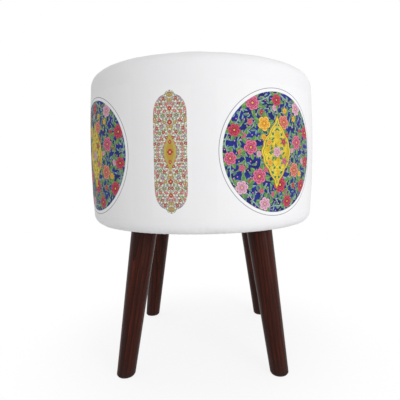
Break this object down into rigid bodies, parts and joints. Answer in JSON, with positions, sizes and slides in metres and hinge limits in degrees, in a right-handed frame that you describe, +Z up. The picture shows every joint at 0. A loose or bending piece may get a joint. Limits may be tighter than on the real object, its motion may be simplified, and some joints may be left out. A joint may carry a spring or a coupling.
{
  "type": "footstool",
  "caption": "Round padded footstool: a fabric-covered drum with a softly crowned seat, on splayed, tapered dark wood legs with screwed-on leg plates.",
  "frame": {"origin": "on the floor, under the middle of the seat", "axes": "+Z up, -Y to the front, +X to the right as seen from the front"},
  "size_m": [0.37, 0.37, 0.45],
  "materials": {
    "cover_fabric": "smooth white woven polyester with a printed ornament",
    "wadding": "polyester fibre wadding",
    "foam": "open-cell polyurethane foam",
    "plywood": "raw birch plywood",
    "fibreboard": "bent hard fibreboard",
    "pine": "planed pine",
    "dust_cloth": "black non-woven cloth",
    "plate_steel": "zinc-plated pressed steel",
    "leg_wood": "turned solid wood, dark reddish-brown stain, satin lacquer",
    "glide_plastic": "black moulded plastic",
    "fastener_steel": "zinc-plated steel"
  },
  "bodies": {
    "root": {"cover_side_band": "cover_fabric", "cover_top_panel": "cover_fabric", "wadding_wrap": "wadding", "seat_foam": "foam", "side_foam": "foam", "seat_board": "plywood", "wall_board": "fibreboard", "post_front": "pine", "post_back": "pine", "post_left": "pine", "post_right": "pine", "base_board": "plywood", "dust_cover": "dust_cloth", "leg_plate_front_left": "plate_steel", "leg_plate_front_right": "plate_steel", "leg_plate_back_right": "plate_steel", "leg_plate_back_left": "plate_steel", "leg_front_left": "leg_wood", "leg_front_right": "leg_wood", "leg_back_right": "leg_wood", "leg_back_left": "leg_wood", "glide_front_left": "glide_plastic", "glide_front_right": "glide_plastic", "glide_back_right": "glide_plastic", "glide_back_left": "glide_plastic", "plate_nuts": "fastener_steel", "hanger_bolts": "fastener_steel", "plate_screws": "fastener_steel", "frame_screws": "fastener_steel"}
  },
  "joints": []
}
